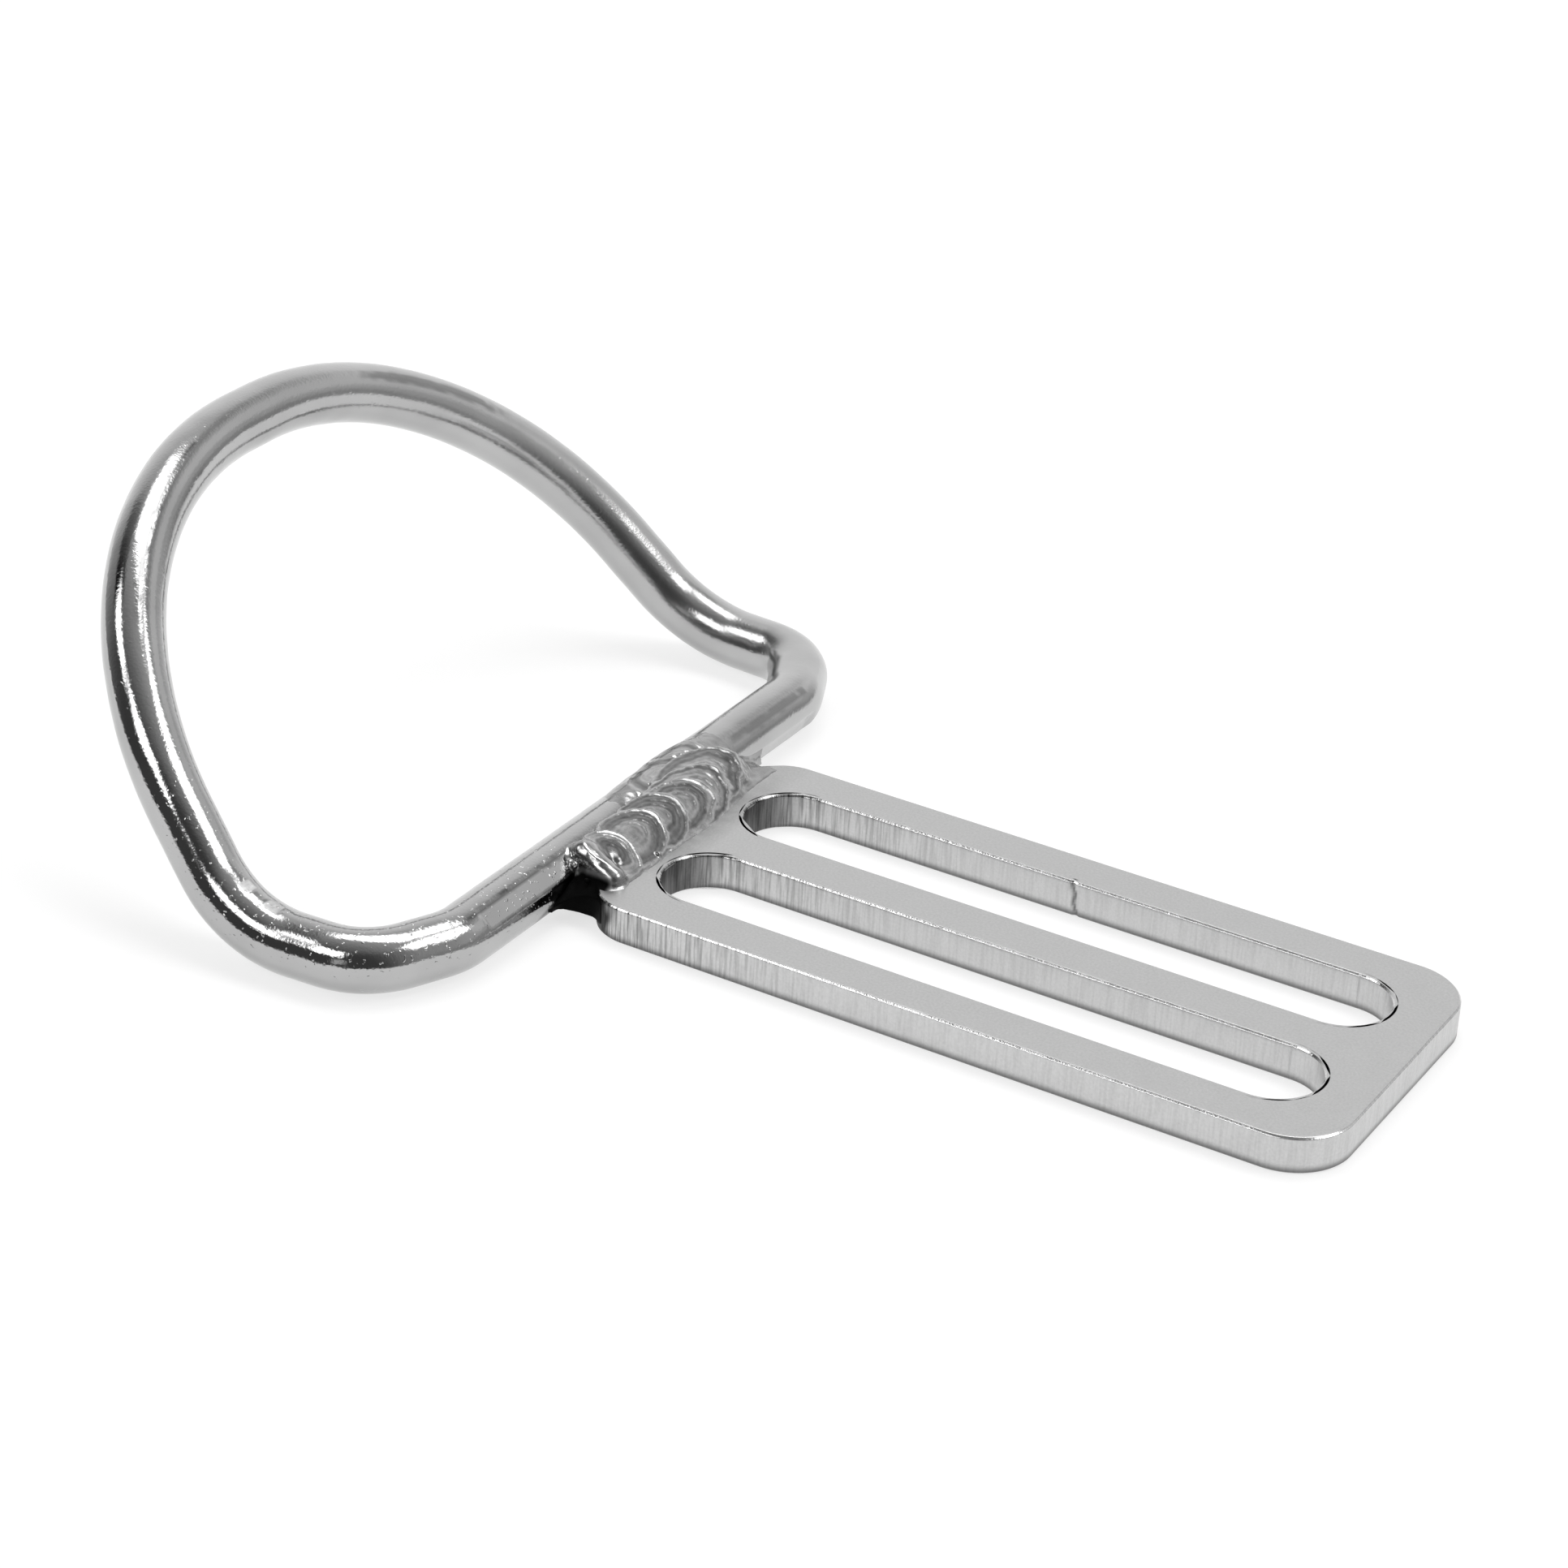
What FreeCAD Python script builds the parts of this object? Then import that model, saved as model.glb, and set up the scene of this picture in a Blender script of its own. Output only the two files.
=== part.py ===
import FreeCAD, Part
import math
import os

# Bent D-ring welded to a two-slot webbing slide plate, all in stainless steel.
# Millimetres. The origin is the centre of the plate's underside, +X runs along the slots to the
# plate's free end, the ring is at -X, and +Z is up, the side that the ring's arch rises to.

# Plate
PLATE_LENGTH = 62.3
PLATE_WIDTH = 28.2
PLATE_THICKNESS = 3.0
WELD_CORNER_RADIUS = 4.0
FREE_CORNER_RADIUS = 4.9
EDGE_BREAK = 0.15

# Webbing slots, round-ended, for 50 mm webbing
SLOT_LENGTH = 55.0
SLOT_WIDTH = 7.8
SLOT_PITCH = 12.2
SLOT_TO_WELD_EDGE = 3.2

# Ring: one rod, whose straight bar, corners and legs lie flat and whose arch is bent up
ROD_DIAMETER = 5.0
ROOT_GAP = 1.5
BAR_HALF_LENGTH = 24.6
CORNER_REACH = 3.2
CORNER_HALF_WIDTH = 31.5
CORNER_TO_BEND = 11.0
BEND_HALF_WIDTH = 32.2
ARCH_TILT = 46.0
ARCH_RUN = 33.7
ARCH_HALF_WIDTH = 25.9
BAR_END_RADIUS = 6.0
CORNER_RADIUS = 5.8
BEND_RADIUS = 11.4
ARCH_RADIUS = 29.7
ROD_JOINT_GAP = 1.0

# Weld metal
PUDDLE_COUNT = 6
PUDDLE_PITCH = 3.9
PUDDLE_ACROSS = 4.5
PUDDLE_ALONG = 3.6
PUDDLE_HEIGHT = 1.35
PUDDLE_SLOPE = 16.0
PUDDLE_CENTRE_HEIGHT = 3.7
PUDDLE_SHIFT = -0.3
FILLET_HALF_LENGTH = 15.2
FILLET_RADIUS = 2.2
FILLET_ON_PLATE = 1.2
ROOT_HEIGHT = 0.35

# Derived places
WELD_EDGE_X = -PLATE_LENGTH / 2
ROD_RADIUS = ROD_DIAMETER / 2
BAR_X = WELD_EDGE_X - ROOT_GAP - ROD_RADIUS
MID_THICKNESS = PLATE_THICKNESS / 2


def vector(x, y, z):
    return FreeCAD.Vector(x, y, z)


def tangent_path(points, radii):
    """A wire of straight runs joined by tangent arcs, one radius for each inner point."""
    edges = []
    start = points[0]
    for before, corner, after, radius in zip(points, points[1:], points[2:], radii):
        back = (before - corner).normalize()
        ahead = (after - corner).normalize()
        half_turn = (math.pi - back.getAngle(ahead)) / 2
        run = radius * math.tan(half_turn)
        arc_start = corner + back * run
        arc_end = corner + ahead * run
        centre = corner + (back + ahead).normalize() * (radius / math.cos(half_turn))
        arc_middle = centre + (corner - centre).normalize() * radius
        edges.append(Part.LineSegment(start, arc_start).toShape())
        edges.append(Part.Arc(arc_start, arc_middle, arc_end).toShape())
        start = arc_end
    edges.append(Part.LineSegment(start, points[-1]).toShape())
    return Part.Wire(edges)


def extruded(wire, height):
    return Part.Face(wire).extrude(vector(0, 0, height))


def rounded_outline():
    """The plate's outline, from the middle of its weld edge round to the same point."""
    weld = WELD_EDGE_X
    free = PLATE_LENGTH / 2
    side = PLATE_WIDTH / 2
    middle = vector(weld, 0, 0)
    corners = [vector(weld, -side, 0), vector(free, -side, 0), vector(free, side, 0), vector(weld, side, 0)]
    radii = [WELD_CORNER_RADIUS, FREE_CORNER_RADIUS, FREE_CORNER_RADIUS, WELD_CORNER_RADIUS]
    return tangent_path([middle] + corners + [middle], radii)


def slot_outline(y_centre):
    radius = SLOT_WIDTH / 2
    low = WELD_EDGE_X + SLOT_TO_WELD_EDGE + radius
    high = low + SLOT_LENGTH - SLOT_WIDTH
    near = y_centre - radius
    far = y_centre + radius
    edges = [
        Part.LineSegment(vector(low, near, 0), vector(high, near, 0)).toShape(),
        Part.Arc(vector(high, near, 0), vector(high + radius, y_centre, 0), vector(high, far, 0)).toShape(),
        Part.LineSegment(vector(high, far, 0), vector(low, far, 0)).toShape(),
        Part.Arc(vector(low, far, 0), vector(low - radius, y_centre, 0), vector(low, near, 0)).toShape(),
    ]
    return Part.Wire(edges)


def is_rim(edge):
    """True for an edge that lies in the top or the bottom face."""
    box = edge.BoundBox
    return box.ZLength < 1e-6 and (abs(box.ZMin) < 1e-6 or abs(box.ZMin - PLATE_THICKNESS) < 1e-6)


def slotted_plate():
    plate = extruded(rounded_outline(), PLATE_THICKNESS)
    for side in (-1, 1):
        plate = plate.cut(extruded(slot_outline(side * SLOT_PITCH / 2), PLATE_THICKNESS))
    rims = [edge for edge in plate.Edges if is_rim(edge)]
    return plate.makeChamfer(EDGE_BREAK, rims)


def ring_path():
    """The rod's centreline, from one end in the middle of the bar round to the other."""
    tilt = math.radians(ARCH_TILT)
    corner_x = BAR_X - CORNER_REACH
    bend_x = corner_x - CORNER_TO_BEND
    top_x = bend_x - ARCH_RUN * math.cos(tilt)
    top_z = ROD_RADIUS + ARCH_RUN * math.sin(tilt)
    half = [
        vector(BAR_X, ROD_JOINT_GAP / 2, ROD_RADIUS),
        vector(BAR_X, BAR_HALF_LENGTH, ROD_RADIUS),
        vector(corner_x, CORNER_HALF_WIDTH, ROD_RADIUS),
        vector(bend_x, BEND_HALF_WIDTH, ROD_RADIUS),
        vector(top_x, ARCH_HALF_WIDTH, top_z),
    ]
    mirrored = [vector(point.x, -point.y, point.z) for point in reversed(half)]
    radii = [BAR_END_RADIUS, CORNER_RADIUS, BEND_RADIUS, ARCH_RADIUS]
    return tangent_path(half + mirrored, radii + radii[::-1])


def d_ring():
    start = vector(BAR_X, ROD_JOINT_GAP / 2, ROD_RADIUS)
    circle = Part.Circle(start, vector(0, 1, 0), ROD_RADIUS).toShape()
    return ring_path().makePipeShell([Part.Wire([circle])], True, False)


def ring_butt_weld():
    """The ground-flush weld that closes the rod's two ends."""
    start = vector(BAR_X, -ROD_JOINT_GAP / 2, ROD_RADIUS)
    return Part.makeCylinder(ROD_RADIUS, ROD_JOINT_GAP, start, vector(0, 1, 0))


def puddle(y_centre):
    """One solidified puddle: an ellipsoid that slopes from the bar's crest to the plate."""
    stretch = FreeCAD.Matrix()
    stretch.scale(PUDDLE_ACROSS, PUDDLE_ALONG, PUDDLE_HEIGHT)
    shape = Part.makeSphere(1.0).transformGeometry(stretch)
    shape.rotate(vector(0, 0, 0), vector(0, 1, 0), PUDDLE_SLOPE)
    shape.translate(vector(BAR_X + ROD_RADIUS + PUDDLE_SHIFT, y_centre, PUDDLE_CENTRE_HEIGHT))
    return shape


def joint_fill(bottom, top):
    """Metal in the gap between bar and plate, with a concave fillet at each end."""
    length = 2 * FILLET_HALF_LENGTH
    width = WELD_EDGE_X + FILLET_ON_PLATE - BAR_X
    fill = Part.makeBox(width, length, top - bottom, vector(BAR_X, -length / 2, bottom))
    for side in (-1, 1):
        axis = vector(BAR_X + ROD_RADIUS + FILLET_RADIUS, side * FILLET_HALF_LENGTH, bottom)
        fill = fill.cut(Part.makeCylinder(FILLET_RADIUS, top - bottom, axis))
    return fill


def without_parents(weld):
    """The weld metal trimmed to meet the rod, its closing weld and the plate face to face."""
    trimmed = weld
    for parent in (d_ring(), ring_butt_weld(), slotted_plate()):
        trimmed = trimmed.cut(parent)
    return max(trimmed.Solids, key=lambda solid: solid.Volume)


def weld_bead_top():
    bead = joint_fill(MID_THICKNESS, PLATE_THICKNESS)
    for index in range(PUDDLE_COUNT):
        bead = bead.fuse(puddle((index - (PUDDLE_COUNT - 1) / 2) * PUDDLE_PITCH))
    return without_parents(bead)


def weld_bead_underside():
    return without_parents(joint_fill(ROOT_HEIGHT, MID_THICKNESS))


SUB_PARTS = {
    "d_ring": d_ring,
    "ring_butt_weld": ring_butt_weld,
    "slotted_plate": slotted_plate,
    "weld_bead_top": weld_bead_top,
    "weld_bead_underside": weld_bead_underside,
}


def main():
    os.makedirs("parts", exist_ok=True)
    for name, make in SUB_PARTS.items():
        shape = make()
        shape.exportStep("parts/" + name + ".step")
        print(name, shape.ShapeType, len(shape.Solids), "valid", shape.isValid(), "volume", round(shape.Volume, 1))


main()
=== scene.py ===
import math
import bpy
import numpy as np
from mathutils import Matrix, Vector
from mathutils.geometry import delaunay_2d_cdt


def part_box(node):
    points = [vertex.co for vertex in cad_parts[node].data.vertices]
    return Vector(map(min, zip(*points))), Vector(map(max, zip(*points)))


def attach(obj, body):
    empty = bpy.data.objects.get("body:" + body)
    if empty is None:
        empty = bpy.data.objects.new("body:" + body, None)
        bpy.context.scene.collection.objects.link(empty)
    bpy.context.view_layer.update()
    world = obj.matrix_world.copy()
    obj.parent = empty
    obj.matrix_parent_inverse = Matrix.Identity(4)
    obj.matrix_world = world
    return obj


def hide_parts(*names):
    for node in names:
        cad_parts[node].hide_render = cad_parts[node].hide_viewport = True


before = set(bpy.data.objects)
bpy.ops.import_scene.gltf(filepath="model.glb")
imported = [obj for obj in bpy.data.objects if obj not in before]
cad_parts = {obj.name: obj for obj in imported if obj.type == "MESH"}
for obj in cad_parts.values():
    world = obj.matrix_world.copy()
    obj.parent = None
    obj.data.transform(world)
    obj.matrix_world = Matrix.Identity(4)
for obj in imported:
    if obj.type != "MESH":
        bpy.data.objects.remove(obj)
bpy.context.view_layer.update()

# Lengths below are in millimetres, in the CAD frame: the origin is the centre of the plate's
# underside, +X runs to the plate's free end, and the ring is at -X.
MM = 0.001

# The plate, from its CAD node, and what its box doesn't say
plate_low, plate_high = (np.array(corner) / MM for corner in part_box("slotted_plate"))
WELD_EDGE_X = plate_low[0]
FREE_EDGE_X = plate_high[0]
HALF_WIDTH = plate_high[1]
THICKNESS = plate_high[2] - plate_low[2]
WELD_CORNER_RADIUS = 4.0
FREE_CORNER_RADIUS = 4.9
SLOT_LENGTH = 55.0
SLOT_WIDTH = 7.8
SLOT_PITCH = 12.2
SLOT_TO_WELD_EDGE = 3.2
EDGE_BREAK = 0.15
PLATE_SPACING = 0.2
# A nick in the far wall of the far slot
NICK_X = -0.95
NICK_Y = SLOT_PITCH / 2 + SLOT_WIDTH / 2

# The ring's centreline, as the CAD part has it
ROD_RADIUS = 2.5
ROOT_GAP = 1.5
BAR_X = WELD_EDGE_X - ROOT_GAP - ROD_RADIUS
BAR_HALF_LENGTH = 24.6
CORNER_REACH = 3.2
CORNER_HALF_WIDTH = 31.5
CORNER_TO_BEND = 11.0
BEND_HALF_WIDTH = 32.2
ARCH_TILT = math.radians(46.0)
ARCH_RUN = 33.7
ARCH_HALF_WIDTH = 25.9
RING_RADII = [6.0, 5.8, 11.4, 29.7]
ROD_JOINT_GAP = 1.0
ROD_SPACING = 0.25
ROD_SIDES = 64


# ---------------------------------------------------------------- helpers

def unit(vectors):
    return vectors / np.linalg.norm(vectors, axis=-1, keepdims=True)


def smooth_step(low, high, value):
    t = np.clip((value - low) / (high - low), 0.0, 1.0)
    return t * t * (3.0 - 2.0 * t)


def ripple_field(points, wavelength, seed, waves=24):
    """Smooth random values from about -1 to 1: plane waves in seeded directions."""
    random = np.random.default_rng(seed)
    directions = unit(random.normal(size=(waves, points.shape[-1])))
    numbers = 2 * math.pi / wavelength * random.uniform(0.6, 1.5, waves)
    phases = random.uniform(0, 2 * math.pi, waves)
    total = np.zeros(points.shape[:-1])
    for direction, number, phase in zip(directions, numbers, phases):
        total += np.sin(points @ direction * number + phase)
    return total / math.sqrt(waves / 2) / 1.6


def new_mesh(name, points, faces, material, uvs=None, values=None):
    """A shaded-smooth object from points in millimetres; uvs and values hold one entry per point."""
    mesh = bpy.data.meshes.new(name)
    mesh.from_pydata((np.asarray(points) * MM).tolist(), [], faces)
    mesh.validate()
    mesh.shade_smooth()
    if uvs is not None:
        layer = mesh.uv_layers.new(name="along")
        corners = np.zeros(len(mesh.loops), np.int64)
        mesh.loops.foreach_get("vertex_index", corners)
        layer.data.foreach_set("uv", np.asarray(uvs)[corners].astype(np.float32).ravel())
    for label, entries in (values or {}).items():
        attribute = mesh.attributes.new(label, "FLOAT", "POINT")
        attribute.data.foreach_set("value", np.asarray(entries, np.float32))
    mesh.materials.append(material)
    obj = bpy.data.objects.new(name, mesh)
    bpy.context.scene.collection.objects.link(obj)
    return obj


def place(obj, slot, *nodes):
    """The piece stands in for the CAD nodes, which it hides, and rides with the root body; slot is not
    used.
    """
    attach(obj, "root")
    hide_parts(*nodes)


# ---------------------------------------------------------------- ring

def tangent_path(points, radii, spacing):
    """Points along straight runs joined by tangent arcs, evenly spaced."""
    dense = [points[0]]
    for before, corner, after, radius in zip(points, points[1:], points[2:], radii):
        back = unit(before - corner)
        ahead = unit(after - corner)
        turn = math.pi - math.acos(back @ ahead)
        run = radius * math.tan(turn / 2)
        centre = corner + unit(back + ahead) * (radius / math.cos(turn / 2))
        first = unit(corner + back * run - centre)
        second = unit(-back - (-back @ first) * first)
        for angle in np.linspace(0, turn, 160):
            dense.append(centre + radius * (math.cos(angle) * first + math.sin(angle) * second))
    dense.append(points[-1])
    dense = np.array(dense)
    lengths = np.r_[0, np.cumsum(np.linalg.norm(np.diff(dense, axis=0), axis=1))]
    stations = np.linspace(0, lengths[-1], int(lengths[-1] / spacing) + 1)
    return np.stack([np.interp(stations, lengths, dense[:, axis]) for axis in range(3)], 1), stations


def ring_centreline(spacing):
    corner_x = BAR_X - CORNER_REACH
    bend_x = corner_x - CORNER_TO_BEND
    half = np.array([
        [BAR_X, ROD_JOINT_GAP / 2, ROD_RADIUS],
        [BAR_X, BAR_HALF_LENGTH, ROD_RADIUS],
        [corner_x, CORNER_HALF_WIDTH, ROD_RADIUS],
        [bend_x, BEND_HALF_WIDTH, ROD_RADIUS],
        [bend_x - ARCH_RUN * math.cos(ARCH_TILT), ARCH_HALF_WIDTH,
         ROD_RADIUS + ARCH_RUN * math.sin(ARCH_TILT)],
    ])
    mirrored = half[::-1] * [1, -1, 1]
    return tangent_path(np.r_[half, mirrored], RING_RADII + RING_RADII[::-1], spacing)


def transported_frames(path):
    """Tangents and normals along the path, with no twist, starting with the normal up."""
    tangents = unit(np.gradient(path, axis=0))
    normals = np.zeros_like(path)
    normal = np.array([0.0, 0.0, 1.0])
    for index, tangent in enumerate(tangents):
        normal = unit(normal - (normal @ tangent) * tangent)
        normals[index] = normal
    return tangents, normals


# Flats that clamps and bending tools pressed into the rod: the middle on its surface,
# half-length along the rod, depth, length of the ledge at each end, and how frosted it is
ROD_FLATS = [
    ((-33.35, -16.2, 4.24), 6.8, 0.17, 0.15, 0.0),
    ((-32.94, 17.9, 1.33), 5.6, 0.36, 0.60, 0.0),
    ((-48.75, -31.80, 6.00), 0.55, 0.10, 0.12, 1.0),
    ((-46.30, -31.98, 5.16), 0.85, 0.10, 0.12, 0.7),
]
# How far the rod's surface lies inside the CAD rod, so that its ripples stay within it
RIPPLE_ROOM = 0.02
# Painted dark reflection streaks along the bar: from y, to y, angle from straight up towards the
# plate in degrees, half-width in degrees, and strength
DARK_REFLECTION_STREAKS = [
    (-25.5, -9.0, 28.0, 4.0, 0.60),
    (-22.8, -9.0, 67.0, 2.5, 0.35),
    (10.5, 24.0, 40.0, 9.0, 0.42),
]


def ring_radii(path, stations, directions):
    """The rod's radius at every station and direction, cut down to the tool flats, and the frost."""
    radius = np.full(directions.shape[:2], ROD_RADIUS - RIPPLE_ROOM)
    frost = np.zeros(radius.shape)
    for middle, half_length, depth, ledge, frosted in ROD_FLATS:
        nearest = np.argmin(np.linalg.norm(path - middle, axis=1))
        facing = directions @ unit(np.array(middle) - path[nearest])
        limit = np.where(facing > 0.2, (ROD_RADIUS - depth) / np.maximum(facing, 0.2), 9.0)
        away = np.abs(stations - stations[nearest])
        inside = 1 - smooth_step(half_length, half_length + ledge, away)
        pressed = inside[:, None] * smooth_step(0.0, 0.02, radius - limit)
        frost = np.maximum(frost, frosted * pressed)
        radius = radius + inside[:, None] * (np.minimum(radius, limit) - radius)
    return radius, frost


def painted_reflection_streaks(points, directions):
    """Painted dark reflection streaks along the bar, broken up by noise."""
    angle = np.degrees(np.arctan2(directions[..., 0], directions[..., 2]))
    on_bar = np.abs(points[..., 1]) < BAR_HALF_LENGTH + 1.5
    dark = np.zeros(angle.shape)
    for y_from, y_to, middle, half_width, strength in DARK_REFLECTION_STREAKS:
        y = points[..., 1] + 0.8 * ripple_field(points, 1.5, 51)
        inside = smooth_step(y_from, y_from + 2, y) * (1 - smooth_step(y_to - 1, y_to, y))
        across = (angle - middle + 2.0 * ripple_field(points, 2.0, 52)) / half_width
        dark = np.maximum(dark, strength * inside * (1 - smooth_step(0.6, 1.3, np.abs(across))))
    return dark * on_bar


def make_ring(material):
    around = ROD_SIDES
    path, stations = ring_centreline(ROD_SPACING)
    tangents, normals = transported_frames(path)
    sides = np.cross(tangents, normals)
    angles = np.linspace(0, 2 * math.pi, around, endpoint=False)
    directions = (normals[:, None] * np.cos(angles)[None, :, None]
                  + sides[:, None] * np.sin(angles)[None, :, None])
    radius, frost = ring_radii(path, stations, directions)
    points = path[:, None] + directions * radius[..., None]
    # Painted dark reflection streaks, passed to the material as painted shade
    reflection_streaks = painted_reflection_streaks(points, directions).reshape(-1)
    wobble = 0.010 * ripple_field(points, 9.0, 3) + 0.005 * ripple_field(points, 2.2, 4)
    points = (points + directions * wobble[..., None]).reshape(-1, 3)
    rows = len(path)
    faces = []
    for row in range(rows - 1):
        start = row * around
        for k in range(around):
            nxt = (k + 1) % around
            faces.append((start + k, start + nxt, start + around + nxt, start + around + k))
    faces.append(tuple(range(around))[::-1])
    faces.append(tuple((rows - 1) * around + k for k in range(around)))
    girth = angles * ROD_RADIUS
    uvs = np.stack(np.broadcast_arrays(stations[:, None], girth[None, :]), -1).reshape(-1, 2)
    clamped = (1 - smooth_step(-14.0, -9.0, points[:, 1])) * smooth_step(-60.0, -50.0, points[:, 0])
    ring = new_mesh("ring_rod", points, faces, material, uvs=uvs,
                    values={"soot_and_shade": soot_and_shade(points), "painted_shade": reflection_streaks, "scuffed": clamped,
                            "frost": frost.reshape(-1)})
    place(ring, "polished_rod", "d_ring")
    return ring


# ---------------------------------------------------------------- plate

def rounded_rectangle(inset, spacing):
    """The plate's outline moved inwards, as evenly spaced points, with outward normals."""
    corners = [
        (WELD_EDGE_X, -HALF_WIDTH, WELD_CORNER_RADIUS, 180),
        (FREE_EDGE_X, -HALF_WIDTH, FREE_CORNER_RADIUS, 270),
        (FREE_EDGE_X, HALF_WIDTH, FREE_CORNER_RADIUS, 0),
        (WELD_EDGE_X, HALF_WIDTH, WELD_CORNER_RADIUS, 90),
    ]
    points = []
    normals = []
    for x, y, radius, start in corners:
        centre = np.array([x - math.copysign(radius, x), y - math.copysign(radius, y)])
        for angle in np.radians(np.linspace(start, start + 90, int(radius * math.pi / 2 / spacing) + 1)):
            normal = np.array([math.cos(angle), math.sin(angle)])
            points.append(centre + normal * (radius - inset))
            normals.append(normal)
    return fill_runs(np.array(points), np.array(normals), spacing)


def slot_rim(y_centre, inset, spacing):
    """A slot's outline moved into the metal; its normals point into the slot."""
    radius = SLOT_WIDTH / 2
    low = WELD_EDGE_X + SLOT_TO_WELD_EDGE + radius
    high = low + SLOT_LENGTH - SLOT_WIDTH
    points = []
    normals = []
    for x, start in ((high, 90), (low, 270)):
        for angle in np.radians(np.linspace(start, start - 180, int(radius * math.pi / spacing) + 1)):
            normal = np.array([math.cos(angle), math.sin(angle)])
            points.append(np.array([x, y_centre]) + normal * (radius + inset))
            normals.append(-normal)
    return fill_runs(np.array(points), np.array(normals), spacing)


def fill_runs(points, normals, spacing):
    """Adds points on the straight runs of a closed outline whose arcs are already divided."""
    full_points = []
    full_normals = []
    for index in range(len(points)):
        here = points[index]
        there = points[(index + 1) % len(points)]
        full_points.append(here)
        full_normals.append(normals[index])
        run = np.linalg.norm(there - here)
        if run > 4 * spacing:
            for share in np.linspace(0, 1, int(run / spacing) + 1)[1:-1]:
                full_points.append(here + (there - here) * share)
                full_normals.append(normals[index])
    return np.array(full_points), np.array(full_normals)


def rim_profile():
    """(inset, height) pairs from the underside, round the wall, to the top."""
    chamfer = [(0.19, 0.0), (0.15, 0.01), (0.13, 0.03), (0.03, 0.13), (0.01, 0.15), (0.0, 0.19)]
    wall = [(0.0, height) for height in np.linspace(0.19, THICKNESS - 0.19, 14)[1:-1]]
    upper = [(inset, THICKNESS - height) for inset, height in reversed(chamfer)]
    support = 0.40
    return [(support, 0.0)] + chamfer + wall + upper + [(support, THICKNESS)]


def rim_rows(count):
    """1 for the points of the rounded rims, 0 for the flats and the wall."""
    depths = np.array([min(height, THICKNESS - height) for _, height in rim_profile()])
    insets = np.array([inset for inset, _ in rim_profile()])
    rounded = (depths < 0.16) & (insets < 0.16)
    return np.repeat(rounded.astype(float), count // len(depths))


def cut_marks(distance, heights, seed):
    """Depth of the streaks that cutting left across a wall, along its length."""
    stations = np.stack(np.broadcast_arrays(distance[:, None] + 0.05 * heights[None, :],
                                            0.04 * heights[None, :]), -1)
    coarse = ripple_field(stations, 1.3, seed)
    fine = ripple_field(stations, 0.55, seed + 1)
    return np.abs(coarse) * 0.6 + fine * 0.4


def nick(flat, height):
    """1 in the middle of the nick, falling to 0 a fifth of a millimetre either side."""
    middle = NICK_X + 0.12 * (1.5 - height) + 0.08 * np.sin(4 * height)
    beside = np.hypot(flat[:, 0] - middle, (flat[:, 1] - NICK_Y) / 2)
    return 1 - smooth_step(0.05, 0.24, beside)


def wall_mesh(outline, seed, offset):
    """Points and quads of one wall with its rounded rims; returns the two flat-side loops too."""
    profile = rim_profile()
    base, normals = outline(0.0)
    count = len(base)
    distance = np.r_[0, np.cumsum(np.linalg.norm(np.diff(base, axis=0), axis=1))]
    heights = np.array([height for _, height in profile])
    marks = cut_marks(distance, heights, seed)
    on_wall = smooth_step(0.0, 0.5, np.minimum(heights, THICKNESS - heights))
    near_weld = 0.35 + 0.65 * (1 - smooth_step(8.0, 26.0, base[:, 0] - WELD_EDGE_X))
    rows = []
    for row, (inset, height) in enumerate(profile):
        flat, _ = outline(inset)
        bite = 0.035 * marks[:, row] * on_wall[row] * near_weld + 0.12 * nick(base, height)
        flat = flat - normals * np.maximum(bite, 0)[:, None]
        rows.append(np.c_[flat, np.full(count, height)])
    points = np.concatenate(rows)
    faces = []
    for row in range(len(profile) - 1):
        for k in range(count):
            nxt = (k + 1) % count
            a = offset + row * count
            faces.append((a + k, a + nxt, a + count + nxt, a + count + k))
    under = [offset + k for k in range(count)]
    top = [offset + (len(profile) - 1) * count + k for k in range(count)]
    uvs = np.stack(np.broadcast_arrays(distance[None, :], heights[:, None]), -1).reshape(-1, 2)
    return points, faces, under, top, uvs


def fill_flat(points, loops, upward):
    """Triangles between the outer loop and the slots' loops of one flat side."""
    indices = [index for loop in loops for index in loop]
    flat = [Vector(points[index][:2]) for index in indices]
    edges = []
    start = 0
    for loop in loops:
        edges += [(start + k, start + (k + 1) % len(loop)) for k in range(len(loop))]
        start += len(loop)
    _, _, triangles, _, _, _ = delaunay_2d_cdt(flat, edges, [], 0, 1e-9)
    faces = []
    for triangle in triangles:
        middle = sum((flat[k] for k in triangle), Vector((0, 0))) / 3
        if in_slot(middle) or outside_plate(middle):
            continue
        a, b, c = (flat[k] for k in triangle)
        counter_clockwise = (b - a).cross(c - a) > 0
        order = triangle if counter_clockwise == upward else triangle[::-1]
        faces.append(tuple(indices[k] for k in order))
    return faces


def in_slot(point):
    radius = SLOT_WIDTH / 2
    low = WELD_EDGE_X + SLOT_TO_WELD_EDGE + radius
    high = low + SLOT_LENGTH - SLOT_WIDTH
    x = min(max(point.x, low), high)
    return any(math.hypot(point.x - x, point.y - side * SLOT_PITCH / 2) < radius for side in (-1, 1))


def outside_plate(point):
    x_out = max(WELD_EDGE_X - point.x, point.x - FREE_EDGE_X)
    return max(x_out, abs(point.y) - HALF_WIDTH) > 0


def slot_end_painted_shade(points):
    """Painted shade on the slots' walls at the weld end, standing in for the shadow they face."""
    centre_x = WELD_EDGE_X + SLOT_TO_WELD_EDGE + SLOT_WIDTH / 2
    off_centre = np.abs(np.abs(points[:, 1]) - SLOT_PITCH / 2)
    inside = np.hypot(points[:, 0] - centre_x, off_centre) < SLOT_WIDTH / 2 + 0.3
    return inside * smooth_step(0.15, 0.95, (centre_x - points[:, 0]) / (SLOT_WIDTH / 2))


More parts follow.
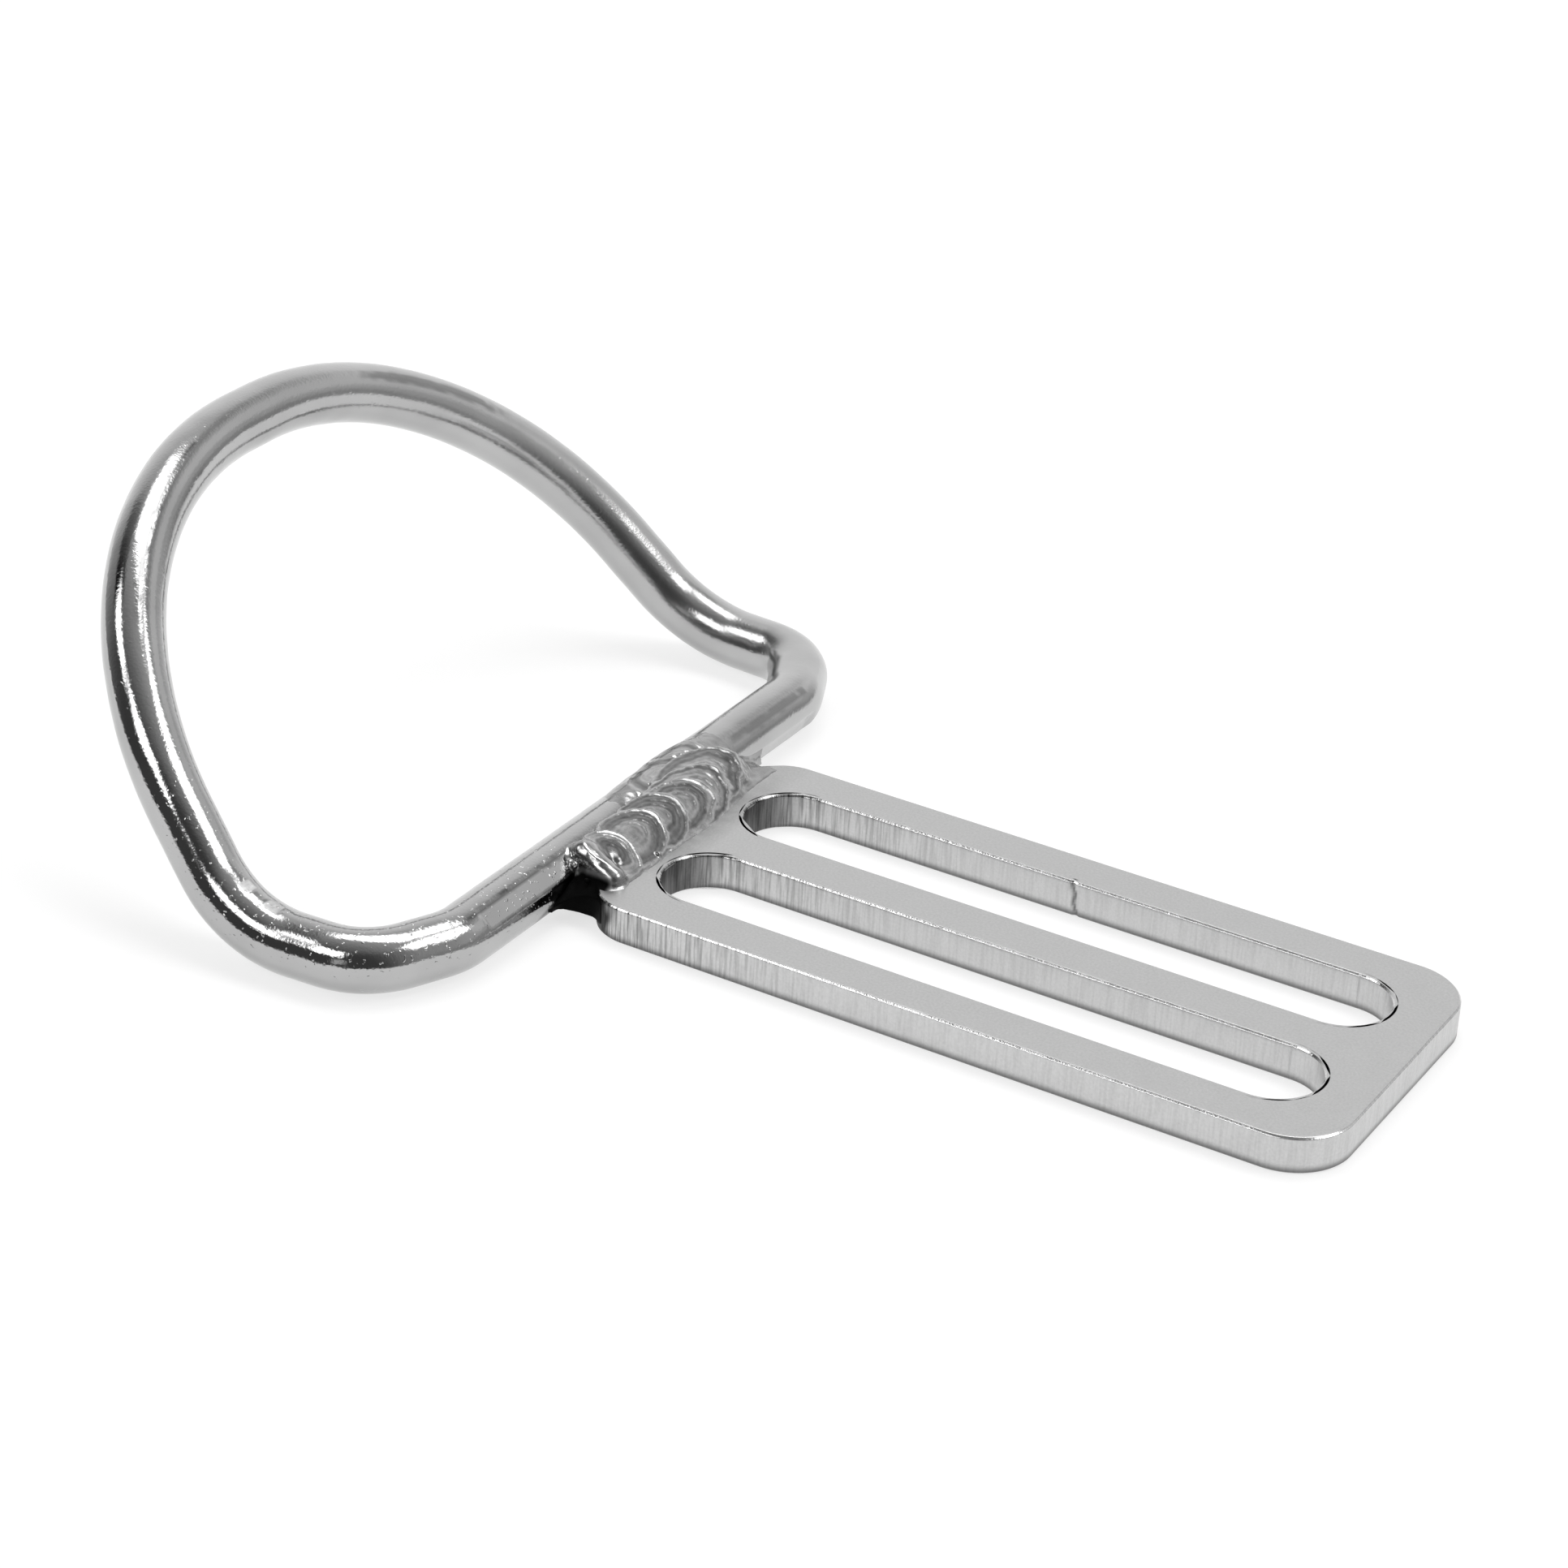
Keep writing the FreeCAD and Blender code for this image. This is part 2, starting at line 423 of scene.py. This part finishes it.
def make_plate(material):
    outlines = [
        lambda inset: rounded_rectangle(inset, PLATE_SPACING),
        lambda inset: slot_rim(-SLOT_PITCH / 2, inset, PLATE_SPACING),
        lambda inset: slot_rim(SLOT_PITCH / 2, inset, PLATE_SPACING),
    ]
    points = np.zeros((0, 3))
    uvs = np.zeros((0, 2))
    rims = np.zeros(0)
    faces = []
    unders = []
    tops = []
    for seed, outline in enumerate(outlines):
        part, quads, under, top, part_uvs = wall_mesh(outline, 11 + 2 * seed, len(points))
        points = np.r_[points, part]
        uvs = np.r_[uvs, part_uvs]
        rims = np.r_[rims, rim_rows(len(part))]
        faces += quads
        unders.append(under)
        tops.append(top)
    faces += fill_flat(points, unders, False)
    faces += fill_flat(points, tops, True)
    depth = np.minimum(points[:, 2], THICKNESS - points[:, 2])
    wall = smooth_step(0.0, EDGE_BREAK, depth)
    # Painted contact shadow, darker towards the foot of every wall, and painted shade at the slots' weld
    # ends
    foot = 1 - smooth_step(0.1, 0.8, points[:, 2])
    painted_shade = np.maximum(foot, slot_end_painted_shade(points)) * (points[:, 2] < 2.95)
    # Painted shade in the nick
    painted_shade = np.maximum(painted_shade, nick(points, points[:, 2]) * wall * 1.1)
    plate = new_mesh("plate_with_slots", points, faces, material, uvs=uvs,
                     values={"wall": wall, "rim": rims, "soot_and_shade": soot_and_shade(points) * wall, "painted_shade": painted_shade})
    place(plate, "satin_plate", "slotted_plate")
    return plate


# ---------------------------------------------------------------- weld metal

# Puddles from the first, at the back, to the last, at the front: middle across and along,
# half-widths across and along, lift, and the dark oxide band as shares of the half-widths.
# Across is measured from the plate's weld edge.
PUDDLES = [
    (-1.0, 4.6, 2.9, 5.5, 0.00, 0.62, 0.93),
    (-0.2, 1.7, 2.8, 5.4, 0.01, 0.80, 0.90),
    (0.0, 0.0, 2.5, 4.6, 0.02, 0.55, 0.78),
    (-0.3, -3.2, 2.5, 4.1, 0.04, 0.50, 0.90),
    (-0.2, -6.3, 2.5, 4.1, 0.06, 0.58, 0.86),
    (-0.1, -9.1, 2.4, 2.2, 0.08, 0.15, 0.55),
]
# Lower weld metal over the bar's crest
BACK_PUDDLES = [
    (-3.6, 5.6, 2.2, 3.4, 0.0, 0.6, 0.8),
    (-3.5, 2.6, 2.0, 3.6, -0.10, 0.55, 0.8),
]
# How steeply each layer falls away outside its puddles
BACK_SKIRT = 1.1
BEAD_SKIRT = 7.0
# The crater: middle across and along, radius and depth
CRATER = (0.4, -9.8, 0.45, 0.40)
# The glossy lip in front of the crater: its two ends, and its radius
LIP = ((-1.8, -10.5, 4.46), (1.2, -10.9, 3.22), 1.0)
# Balls of spatter: middle across, along and up, and radius
SPATTER = [
    (-1.7, -11.9, 4.05, 0.34),
    (-0.4, -12.2, 3.2, 0.24),
    (-2.3, -12.2, 3.75, 0.18),
    (1.9, -5.6, 3.3, 0.26),
]
# The fill of the gap: the end fillet's place and radius, and its top and underside, which
# close up by TIP_SLOPE towards its tips
FILL_HALF_LENGTH = 15.2
FILLET_RADIUS = 2.2
FILLET_ACROSS = 0.7
FILL_TOP = 2.92
FILL_UNDERSIDE = 0.32
TIP_SLOPE = 1.1
# How far the skin runs into the bar and the plate
ROOT_DEPTH = 0.25
# Side of a cell in the grid that the weld's skin is drawn from
GRID = 0.12


def bead_profile(across):
    """Height of the bead's middle surface, from the bar's shoulder down to the plate."""
    return 5.22 - 0.098 * (across + 2.6) ** 2


def crest_profile(across):
    """Height of the lower layer, over the bar's crest."""
    return 5.36 - 0.22 * (across + 3.9) ** 2


def warp(across, along):
    """Unevenness added to every puddle's outline and ripples."""
    spot = np.stack([across, along], -1)
    return 0.035 * ripple_field(spot, 2.4, 31) + 0.014 * ripple_field(spot, 0.8, 32)


def puddle_relief(share, lift):
    """A shallow dish with ripples and a raised rim, as height over the bead's profile."""
    rim = 0.034 * np.exp(-((share - 0.93) / 0.07) ** 2)
    ripples = 0.014 * np.cos(2 * math.pi * share * 6.5) * smooth_step(0.2, 0.5, share)
    dish = -0.12 * (1 - np.clip(share, 0, 1) ** 2)
    return lift + rim + ripples + dish


def puddle_oxide_and_highlights(share, dark_from, dark_to):
    """How pale the oxide is, from 0 to 1, in bands that follow the puddle's ripples, with a painted
    highlight along the rim.
    """
    dark = smooth_step(dark_from - 0.06, dark_from + 0.05, share)
    dark = dark * (1 - smooth_step(dark_to - 0.04, dark_to + 0.05, share))
    # A painted highlight along each puddle's raised rim
    ridge_highlight = np.exp(-((share - 0.965) / 0.03) ** 2)
    return 0.64 - 0.40 * dark + 0.06 * np.cos(2 * math.pi * share * 6.5) + 0.14 * ridge_highlight


def crown(across, along):
    """Height, and oxide tint with painted rim highlights, of the bead's top: each puddle lies over the one
    before it.
    """
    height = np.full(across.shape, -9.0)
    oxide_highlight_tint = np.full(across.shape, 0.5)
    uneven = warp(across, along)
    layers = ((crest_profile, BACK_SKIRT, BACK_PUDDLES), (bead_profile, BEAD_SKIRT, PUDDLES))
    for profile, steepness, puddles in layers:
        for x, y, half_across, half_along, lift, dark_from, dark_to in puddles:
            share = np.hypot((across - x) / half_across, (along - y) / half_along) + uneven
            over = 1 - smooth_step(0.96, 1.0, share)
            skirt = profile(across) + lift - steepness * np.maximum(share - 0.95, 0) ** 1.25
            inside = profile(across) + puddle_relief(share, lift)
            height = np.maximum(height, skirt) * (1 - over) + inside * over
            oxide_highlight_tint = oxide_highlight_tint * (1 - over) + puddle_oxide_and_highlights(share, dark_from, dark_to) * over
    pit = np.hypot(across - CRATER[0], along - CRATER[1]) / CRATER[2]
    return height - CRATER[3] * np.exp(-pit ** 2), oxide_highlight_tint


def oxide_and_highlights(points):
    """The puddles' oxide tint and painted rim highlights on top, and a middling grey where the skin lies
    below them.
    """
    height, oxide_highlight_tint = crown(points[:, 0] - WELD_EDGE_X, points[:, 1])
    below = smooth_step(0.25, 0.6, height - points[:, 2])
    return np.clip(oxide_highlight_tint * (1 - below) + 0.5 * below, 0, 1)


def soot_and_shade(points):
    """Soot and painted shade: black round the near end of the gap, and a small spot past the far end of the
    bead.
    """
    across = points[:, 0] - WELD_EDGE_X
    along = points[:, 1]
    uneven = 0.10 * ripple_field(points, 1.6, 41)
    # Black at the near end is partly soot and partly painted shade: the shadow in the gap and under the
    # bar, and a painted dark reflection on the bead's steep front face
    gap = np.hypot((across + 0.3) / 2.5, (along + 14.6) / 4.6) + uneven
    ceiling = 3.8 - 0.55 * np.maximum(-along - 12.4, 0)
    gap = (1 - smooth_step(0.75, 1.05, gap)) * (1 - smooth_step(ceiling - 0.5, ceiling + 0.3, points[:, 2]))
    corner = np.hypot((across - 1.2) / 2.6, (along + 12.4) / 2.8) + uneven
    corner = (1 - smooth_step(0.55, 1.05, corner)) * (points[:, 2] < THICKNESS - 0.1)
    far = np.hypot((across + 0.7) / 1.3, (along - 10.9) / 0.9) + uneven
    far = 0.75 * (1 - smooth_step(0.3, 1.1, far))
    return np.maximum(np.maximum(gap, corner), far)


def capsule_distance(points, start, end, radius):
    start = np.array(start) + [WELD_EDGE_X, 0, 0]
    run = np.array(end) + [WELD_EDGE_X, 0, 0] - start
    share = np.clip((points - start) @ run / (run @ run), 0, 1)
    return np.linalg.norm(points - start - share[..., None] * run, axis=-1) - radius


def smooth_min(a, b, reach):
    share = np.clip(0.5 + 0.5 * (b - a) / reach, 0, 1)
    return b + (a - b) * share - reach * share * (1 - share)


def bar_distance(points):
    return np.hypot(points[..., 0] - BAR_X, points[..., 2] - ROD_RADIUS) - ROD_RADIUS


def plate_distance(points):
    across = WELD_CORNER_RADIUS - (points[..., 0] - WELD_EDGE_X)
    along = np.abs(points[..., 1]) - (HALF_WIDTH - WELD_CORNER_RADIUS)
    flat = np.hypot(np.maximum(across, 0), np.maximum(along, 0)) - WELD_CORNER_RADIUS
    flat = flat + np.minimum(np.maximum(across, along), 0)
    up = np.abs(points[..., 2] - THICKNESS / 2) - THICKNESS / 2
    return np.minimum(np.maximum(flat, up), 0) + np.hypot(np.maximum(flat, 0), np.maximum(up, 0))


def fill_distance(points):
    """Metal in the gap between bar and plate, with a concave fillet at each end."""
    across = points[..., 0] - WELD_EDGE_X
    along = np.abs(points[..., 1])
    tip = TIP_SLOPE * smooth_step(11.5, 15.0, along)
    box = np.maximum(np.abs(across + 0.8) - 2.4, along - FILL_HALF_LENGTH)
    above = points[..., 2] - FILL_TOP + tip
    below = FILL_UNDERSIDE + tip - points[..., 2]
    box = np.maximum(box, np.maximum(above, below))
    bite = FILLET_RADIUS - np.hypot(across - FILLET_ACROSS, along - FILL_HALF_LENGTH)
    return np.maximum(box, bite)


def weld_distance(points):
    """Below zero inside the weld metal, which runs a little way into the bar and the plate."""
    across = points[..., 0] - WELD_EDGE_X
    along = points[..., 1]
    bar = bar_distance(points)
    plate = plate_distance(points)
    if points.ndim == 4:
        height = crown(across[:, :, 0], along[:, :, 0])[0][:, :, None]
    else:
        height = crown(across, along)[0]
    top = np.maximum((points[..., 2] - height) * 0.75, 1.4 - points[..., 2])
    core = smooth_min(fill_distance(points), top, 0.7)
    core = smooth_min(core, capsule_distance(points, *LIP), 0.35)
    for x, y, z, radius in SPATTER:
        ball = np.linalg.norm(points - [x + WELD_EDGE_X, y, z], axis=-1) - radius
        core = smooth_min(core, ball, 0.12)
    parents = smooth_min(bar, plate, 0.9)
    metal = smooth_min(core, parents, 0.5) + 0.03 + 0.12 * smooth_step(0.2, 0.9, core)
    metal = metal + 0.2 * smooth_step(1.5, 2.3, -across) * smooth_step(11.6, 12.4, np.abs(along))
    metal = metal + 0.010 * ripple_field(points, 1.1, 21)
    hidden = np.minimum(bar, plate) + ROOT_DEPTH
    zone = np.maximum(np.maximum(np.abs(across + 1.7) - 5.0, np.abs(along) - 15.8), 0.25 - points[..., 2])
    return np.maximum(np.maximum(metal, -hidden), zone)


def surface_nets(distance, low, high, step):
    """A closed quad mesh of the surface where distance is zero, one point per crossed cell."""
    axes = [np.arange(low[k], high[k] + step, step) for k in range(3)]
    grid = np.stack(np.meshgrid(*axes, indexing="ij"), -1)
    values = distance(grid)
    inside = values < 0
    shape = np.array(values.shape) - 1
    total = np.zeros(tuple(shape) + (3,))
    crossings = np.zeros(tuple(shape))
    corners = [np.array([i, j, k]) for i in (0, 1) for j in (0, 1) for k in (0, 1)]

    def shifted(array, offset):
        i, j, k = offset
        return array[i:i + shape[0], j:j + shape[1], k:k + shape[2]]

    for axis in range(3):
        for corner in corners:
            if corner[axis]:
                continue
            other = corner.copy()
            other[axis] = 1
            a = shifted(values, corner)
            b = shifted(values, other)
            crossed = (a < 0) != (b < 0)
            share = np.where(crossed, a / np.where(crossed, a - b, 1), 0)
            spot = corner + share[..., None] * (other - corner)
            total += np.where(crossed[..., None], spot, 0)
            crossings += crossed
    used = crossings > 0
    number = np.full(tuple(shape), -1)
    number[used] = np.arange(used.sum())
    cells = np.argwhere(used)
    points = np.array(low) + (cells + total[used] / crossings[used][:, None]) * step
    faces = []
    for axis in range(3):
        side, up = [k for k in range(3) if k != axis]
        ahead = np.zeros(3, int)
        ahead[axis] = 1
        starts = np.argwhere(shifted(inside, (0, 0, 0)) != shifted(inside, ahead))
        starts = starts[(starts[:, side] > 0) & (starts[:, up] > 0)]
        quads = []
        for back_side, back_up in ((0, 0), (1, 0), (1, 1), (0, 1)):
            cell = starts.copy()
            cell[:, side] -= back_side
            cell[:, up] -= back_up
            quads.append(number[tuple(cell.T)])
        quads = np.stack(quads, 1)
        outward = inside[tuple(starts.T)]
        if axis == 1:
            outward = ~outward
        quads = np.where(outward[:, None], quads, quads[:, ::-1])
        faces += quads.tolist()
    return points, faces


def onto_surface(distance, points, reach):
    """Moves points to where distance is zero, along its slope, no further than reach."""
    nudge = 0.01
    for _ in range(2):
        value = distance(points)
        slope = np.stack([(distance(points + nudge * axis) - distance(points - nudge * axis)) / (2 * nudge)
                          for axis in np.eye(3)], -1)
        step = value[:, None] * slope / np.maximum((slope ** 2).sum(-1), 0.2)[:, None]
        length = np.linalg.norm(step, axis=1, keepdims=True)
        points = points - step * np.minimum(1, reach / np.maximum(length, 1e-9))
    return points


def make_weld(material):
    low = (WELD_EDGE_X - 7.1, -16.2, -0.1)
    high = (WELD_EDGE_X + 3.7, 16.2, 6.0)
    points, faces = surface_nets(weld_distance, low, high, GRID)
    points = onto_surface(weld_distance, points, GRID / 2)
    weld = new_mesh("weld_bead", points, faces, material,
                    values={"oxide_highlight_tint": oxide_and_highlights(points), "soot_and_shade": soot_and_shade(points)})
    place(weld, "weld_metal", "weld_bead_top", "weld_bead_underside")
    return weld


# ---------------------------------------------------------------- materials

def new_material(name, colour, roughness, metallic=1.0):
    material = bpy.data.materials.new(name)
    material.use_nodes = True
    shader = material.node_tree.nodes["Principled BSDF"]
    shader.inputs["Base Color"].default_value = (colour, colour, colour, 1)
    shader.inputs["Roughness"].default_value = roughness
    shader.inputs["Metallic"].default_value = metallic
    return material, shader


def node(material, kind, **inputs):
    made = material.node_tree.nodes.new(kind)
    for key, value in inputs.items():
        made.inputs[key].default_value = value
    return made


def link(material, source, target):
    material.node_tree.links.new(source, target)


def object_noise(material, scale, detail=3.0):
    """Noise in object space; scale is in features per millimetre."""
    place_node = node(material, "ShaderNodeTexCoord")
    noise = node(material, "ShaderNodeTexNoise", Scale=scale / MM, Detail=detail)
    link(material, place_node.outputs["Object"], noise.inputs["Vector"])
    return noise.outputs["Fac"]


def ranged(material, source, low, high, from_low=0.3, from_high=0.7):
    spread = node(material, "ShaderNodeMapRange")
    spread.inputs["From Min"].default_value = from_low
    spread.inputs["From Max"].default_value = from_high
    spread.inputs["To Min"].default_value = low
    spread.inputs["To Max"].default_value = high
    link(material, source, spread.inputs["Value"])
    return spread.outputs["Result"]


def grey_colour(material, source):
    combine = node(material, "ShaderNodeCombineColor")
    for channel in ("Red", "Green", "Blue"):
        link(material, source, combine.inputs[channel])
    return combine.outputs["Color"]


def bump(material, shader, source, depth, strength=1.0):
    bumped = node(material, "ShaderNodeBump", Strength=strength, Distance=depth * MM)
    link(material, source, bumped.inputs["Height"])
    link(material, bumped.outputs["Normal"], shader.inputs["Normal"])


def attribute(material, name):
    made = material.node_tree.nodes.new("ShaderNodeAttribute")
    made.attribute_name = name
    return made.outputs["Fac"]


def math_node(tree, operation, *values):
    made = tree.nodes.new("ShaderNodeMath")
    made.operation = operation
    for socket, value in zip(made.inputs, values):
        if isinstance(value, (int, float)):
            socket.default_value = value
        else:
            tree.links.new(value, socket)
    return made.outputs[0]


def combined(material, operation, a, b):
    return math_node(material.node_tree, operation, a, b)


def product(material, first, *others):
    for other in others:
        first = combined(material, "MULTIPLY", first, other)
    return first


def without(material, shade, share):
    """The shade, darkened by the share."""
    return product(material, shade, combined(material, "SUBTRACT", 1.0, share))


def darkened_by_soot_and_shade(material, shade, darkest=0.02):
    """The shade, going to nearly black where soot and painted shade lie."""
    return combined(material, "MAXIMUM", without(material, shade, attribute(material, "soot_and_shade")), darkest)


def object_axis(material, axis):
    coordinates = node(material, "ShaderNodeTexCoord")
    split = node(material, "ShaderNodeSeparateXYZ")
    link(material, coordinates.outputs["Object"], split.inputs["Vector"])
    return split.outputs[axis]


def streaks(material, along, up):
    """Noise stretched down a wall, from the mesh's own distance-and-height coordinates."""
    layer = node(material, "ShaderNodeUVMap")
    layer.uv_map = "along"
    stretch = node(material, "ShaderNodeMapping")
    stretch.inputs["Scale"].default_value = (along, up, 1.0)
    link(material, layer.outputs["UV"], stretch.inputs["Vector"])
    noise = node(material, "ShaderNodeTexNoise", Scale=1.0, Detail=3.0)
    link(material, stretch.outputs["Vector"], noise.inputs["Vector"])
    return noise.outputs["Fac"]


def polished_steel():
    material, shader = new_material("polished_steel", 0.46, 0.09)
    cloudy = ranged(material, object_noise(material, 0.35), -0.02, 0.03)
    far = ranged(material, object_axis(material, "Y"), 0.07, 0.19, -0.020, 0.028)
    frosted = product(material, attribute(material, "frost"), 0.40)
    rough = combined(material, "ADD", combined(material, "ADD", cloudy, far), frosted)
    link(material, rough, shader.inputs["Roughness"])
    shade = ranged(material, object_noise(material, 0.15), 0.43, 0.49)
    mottled = ranged(material, object_noise(material, 3.0), 0.0, 0.45)
    shade = combined(material, "ADD", shade, product(material, frosted, mottled))
    # Darkens the colour with painted shade: the painted dark reflection streaks along the bar
    shade = without(material, shade, attribute(material, "painted_shade"))
    link(material, grey_colour(material, darkened_by_soot_and_shade(material, shade)), shader.inputs["Base Color"])
    specks = ranged(material, object_noise(material, 2.6, 1.0), 0.0, 1.0, 0.66, 0.74)
    grain = ranged(material, object_noise(material, 4.0, 4.0), 0.0, 0.22)
    weight = ranged(material, attribute(material, "scuffed"), 0.2, 1.0, 0.0, 1.0)
    specks = product(material, specks, weight)
    bump(material, shader, combined(material, "ADD", specks, grain), 0.022)
    return material


def heat_stain(material):
    """Darkness of the plate's top beside the bead, in metres along X and Y."""
    beside = ranged(material, object_axis(material, "X"), 0.36, 0.0, -0.0288, -0.0266)
    near_end = ranged(material, object_axis(material, "Y"), 0.0, 1.0, -0.0085, -0.0040)
    far_end = ranged(material, object_axis(material, "Y"), 1.0, 0.3, 0.006, 0.012)
    uneven = ranged(material, object_noise(material, 0.7), 0.6, 1.2)
    return product(material, beside, near_end, far_end, uneven)


def satin_steel():
    material, shader = new_material("satin_steel", 0.56, 0.38)
    rough = ranged(material, object_noise(material, 0.6), 0.34, 0.42)
    polish = product(material, attribute(material, "rim"), 0.20)
    link(material, combined(material, "SUBTRACT", rough, polish), shader.inputs["Roughness"])
    near_weld = ranged(material, object_axis(material, "X"), 1.0, 0.15, -0.029, -0.010)
    edges = combined(material, "ADD", attribute(material, "wall"), attribute(material, "rim"))
    marks = ranged(material, streaks(material, 4.6, 0.25), 0.0, 1.0, 0.42, 0.66)
    # Cut marks darken the walls near the weld; on the rims the same darkening is a painted dark reflection
    # line
    cut_marks_and_rim_shade = product(material, marks, edges, near_weld, 0.62)
    # Painted shade: contact shadow at the foot of the walls, shade at the slots' weld ends and in the nick
    painted_shade = product(material, attribute(material, "painted_shade"), 0.72)
    shade = ranged(material, object_noise(material, 5.0, 2.0), 0.445, 0.505)
    # Painted light: the walls and rims are made lighter than the top
    shade = combined(material, "ADD", shade, product(material, edges, 0.13))
    for darkening in (heat_stain(material), cut_marks_and_rim_shade, painted_shade):
        shade = without(material, shade, darkening)
    link(material, grey_colour(material, darkened_by_soot_and_shade(material, shade)), shader.inputs["Base Color"])
    grooves = product(material, streaks(material, 4.5, 0.3), attribute(material, "wall"))
    grain = product(material, object_noise(material, 7.0, 2.0), 0.35)
    bump(material, shader, combined(material, "ADD", grooves, grain), 0.02)
    return material


def weld_steel():
    material, shader = new_material("weld_steel", 0.40, 0.25)
    rough = ranged(material, object_noise(material, 0.8), 0.13, 0.30)
    rough_where_dark = product(material, attribute(material, "soot_and_shade"), 0.5)
    link(material, combined(material, "ADD", rough, rough_where_dark), shader.inputs["Roughness"])
    blotches = ranged(material, object_noise(material, 1.2), 0.85, 1.15)
    # Oxide tint, with painted highlights along the puddles' rims
    shade = ranged(material, attribute(material, "oxide_highlight_tint"), 0.08, 0.57, 0.0, 1.0)
    shade = darkened_by_soot_and_shade(material, product(material, shade, blotches), 0.006)
    link(material, grey_colour(material, shade), shader.inputs["Base Color"])
    bump(material, shader, object_noise(material, 4.0, 4.0), 0.012)
    return material


# ---------------------------------------------------------------- stage

VIEW_AZIMUTH = math.radians(29.49)
VIEW_ELEVATION = math.radians(27.89)
VIEW_ROLL = math.radians(3.11)
VIEW_DISTANCE = 331.2
VIEW_TARGET = (-27.6, 10.6, THICKNESS)
LENS = 94.8
FLOOR_HALF_SIZE = 900.0
FLOOR_GLOW = 0.70
# Soft boxes: azimuth from +X and elevation of the middle, half-width and half-height, all in
# degrees, then radiance. Those below zero are dark flags.
SOFT_BOXES = [
    (98, 70.5, 19, 10.5, 4.5),
    (22, 50, 13.5, 9.5, 4.5),
    (-103, 42, 13.5, 8.5, 5.0),
    (-146, 46, 11, 8, 4.0),
    (-84, 17, 6, 8, 0.5),
    (180, 47, 13, 15, -0.28),
    (60, 50, 26, 5, -0.18),
    (36, 4, 33, 7, -0.17),
    (58, 30, 22, 9, 0.22),
]
SOFT_EDGE = 0.30


def make_camera():
    forward = Vector((-math.sin(VIEW_AZIMUTH) * math.cos(VIEW_ELEVATION),
                      math.cos(VIEW_AZIMUTH) * math.cos(VIEW_ELEVATION),
                      -math.sin(VIEW_ELEVATION)))
    level = Vector((math.cos(VIEW_AZIMUTH), math.sin(VIEW_AZIMUTH), 0))
    up = level.cross(forward)
    right = level * math.cos(VIEW_ROLL) + up * math.sin(VIEW_ROLL)
    up = right.cross(forward)
    data = bpy.data.cameras.new("camera")
    data.lens = LENS
    data.sensor_width = 36.0
    data.clip_start = 0.01
    data.clip_end = 10.0
    camera = bpy.data.objects.new("camera", data)
    camera.matrix_world = (Matrix.Translation((Vector(VIEW_TARGET) - forward * VIEW_DISTANCE) * MM)
                           @ Matrix((right, up, -forward)).transposed().to_4x4())
    bpy.context.scene.collection.objects.link(camera)
    bpy.context.scene.camera = camera


def make_floor():
    material, shader = new_material("pale_floor", 0.30, 0.9, 0.0)
    shader.inputs["Emission Color"].default_value = (1, 1, 1, 1)
    shader.inputs["Emission Strength"].default_value = FLOOR_GLOW
    size = FLOOR_HALF_SIZE
    corners = [(-size, -size, 0), (size, -size, 0), (size, size, 0), (-size, size, 0)]
    floor = new_mesh("floor", corners, [(0, 1, 2, 3)], material)


def sky_direction(azimuth, elevation):
    a, e = math.radians(azimuth), math.radians(elevation)
    return Vector((math.cos(a) * math.cos(e), math.sin(a) * math.cos(e), math.sin(e)))


def ramp_node(tree, value, start, end, low, high):
    """Eases from low to high as value goes from start to end."""
    made = tree.nodes.new("ShaderNodeMapRange")
    made.interpolation_type = "SMOOTHSTEP"
    tree.links.new(value, made.inputs["Value"])
    for label, number in (("From Min", start), ("From Max", end), ("To Min", low), ("To Max", high)):
        made.inputs[label].default_value = number
    return made.outputs["Result"]


def dot_node(tree, ray, direction):
    made = tree.nodes.new("ShaderNodeVectorMath")
    made.operation = "DOT_PRODUCT"
    made.inputs[1].default_value = direction
    tree.links.new(ray, made.inputs[0])
    return made.outputs["Value"]


def soft_box(tree, ray, azimuth, elevation, half_width, half_height, radiance):
    middle = sky_direction(azimuth, elevation)
    across = Vector((0, 0, 1)).cross(middle).normalized()
    depth = math_node(tree, "MAXIMUM", dot_node(tree, ray, middle), 0.001)
    shares = []
    for axis, half in ((across, half_width), (middle.cross(across), half_height)):
        reach = math.tan(math.radians(half))
        offset = math_node(tree, "ABSOLUTE", math_node(tree, "DIVIDE", dot_node(tree, ray, axis), depth))
        shares.append(ramp_node(tree, offset, reach * (1 - SOFT_EDGE), reach * (1 + SOFT_EDGE), 1.0, 0.0))
    return math_node(tree, "MULTIPLY", math_node(tree, "MULTIPLY", *shares), radiance)


def make_world():
    """A room that is dark behind the camera and pale behind the object, with soft boxes."""
    world = bpy.data.worlds.new("studio")
    bpy.context.scene.world = world
    world.use_nodes = True
    tree = world.node_tree
    ray = tree.nodes.new("ShaderNodeTexCoord").outputs["Generated"]
    away = dot_node(tree, ray, Vector((0.05, 1.0, 0.0)))
    up = dot_node(tree, ray, Vector((0, 0, 1)))
    behind = dot_node(tree, ray, Vector((-0.5, 0.87, 0.0)))
    total = ramp_node(tree, away, -0.7, 0.45, 0.07, 0.56)
    total = math_node(tree, "ADD", total, ramp_node(tree, behind, 0.5, 0.92, 0.0, 0.48))
    total = math_node(tree, "ADD", total, ramp_node(tree, up, 0.70, 0.90, 0.0, 0.07))
    for box in SOFT_BOXES:
        total = math_node(tree, "ADD", total, soft_box(tree, ray, *box))
    tree.links.new(total, tree.nodes["Background"].inputs["Strength"])
    tree.nodes["Background"].inputs["Color"].default_value = (1, 1, 1, 1)


# ---------------------------------------------------------------- build

polished = polished_steel()
satin = satin_steel()
welded = weld_steel()
make_camera()
make_floor()
make_world()
make_ring(polished)
make_plate(satin)
make_weld(welded)
butt_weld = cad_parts["ring_butt_weld"]
butt_weld.data.materials.clear()
butt_weld.data.materials.append(polished)
bpy.context.scene.view_settings.view_transform = "Standard"
